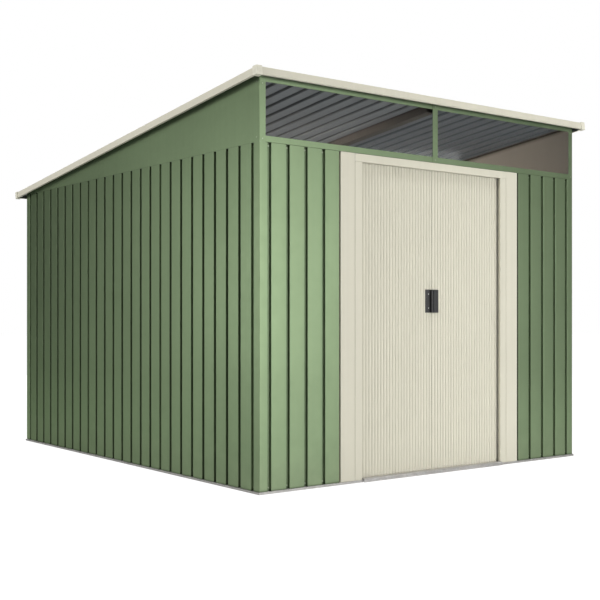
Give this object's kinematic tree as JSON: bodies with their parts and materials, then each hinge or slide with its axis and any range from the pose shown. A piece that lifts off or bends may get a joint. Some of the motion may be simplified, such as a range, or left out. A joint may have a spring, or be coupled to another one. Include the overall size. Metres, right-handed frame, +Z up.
{
  "type": "metal storage shed",
  "caption": "Folded-steel garden shed with grooved walls, a sloping roof, a glazed strip and sliding double doors.",
  "frame": {"origin": "on the ground, under the middle of the roof's outline", "axes": "+Z up; +Y from the doors into the shed; +X to the right seen from the front"},
  "size_m": [2.537, 3.0204, 2.1122],
  "materials": {
    "green_paint": "satin",
    "cream_paint": "satin",
    "galvanised": "satin",
    "grey_sheet": "satin",
    "clear_pane": "polished",
    "black_plastic": "matte",
    "cream_plastic": "matte"
  },
  "bodies": {
    "shell": {"front_left_corner": "green_paint", "front_right_corner": "green_paint", "back_right_corner": "green_paint", "back_left_corner": "green_paint", "left_panel_1": "green_paint", "left_panel_2": "green_paint", "left_panel_3": "green_paint", "right_panel_1": "green_paint", "right_panel_2": "green_paint", "right_panel_3": "green_paint", "back_panel_1": "green_paint", "back_panel_2": "green_paint", "front_left_panel": "green_paint", "front_right_panel": "green_paint", "left_gable": "green_paint", "right_gable": "green_paint", "clerestory_sill": "green_paint", "clerestory_lintel": "green_paint", "clerestory_left_post": "green_paint", "clerestory_right_post": "green_paint", "clerestory_mullion": "green_paint", "back_top_rail": "green_paint", "roof_left_sheet": "green_paint", "roof_right_sheet": "green_paint", "roof_front_trim": "cream_paint", "roof_right_trim": "cream_paint", "roof_back_trim": "cream_paint", "roof_left_trim": "cream_paint", "door_header": "cream_paint", "left_door_post": "cream_paint", "right_door_post": "cream_paint", "left_jamb": "cream_paint", "right_jamb": "cream_paint", "front_left_base_rail": "galvanised", "front_right_base_rail": "galvanised", "left_base_rail": "galvanised", "right_base_rail": "galvanised", "back_base_rail": "galvanised", "door_threshold": "galvanised", "door_bottom_track": "galvanised", "door_top_guide": "galvanised", "roof_beam": "grey_sheet", "left_pane": "clear_pane", "right_pane": "clear_pane", "roof_corner_caps": "cream_plastic"},
    "left_door": {"left_door_leaf": "cream_paint", "left_handle": "black_plastic", "left_glides": "black_plastic"},
    "right_door": {"right_door_leaf": "cream_paint", "right_handle": "black_plastic", "right_glides": "black_plastic"}
  },
  "joints": [
    {"name": "left_door_slide", "type": "slide", "parent": "shell", "child": "left_door", "axis": [-1, 0, 0], "range_m": [0, 0.515]},
    {"name": "right_door_slide", "type": "slide", "parent": "shell", "child": "right_door", "axis": [1, 0, 0], "range_m": [0, 0.515]}
  ]
}
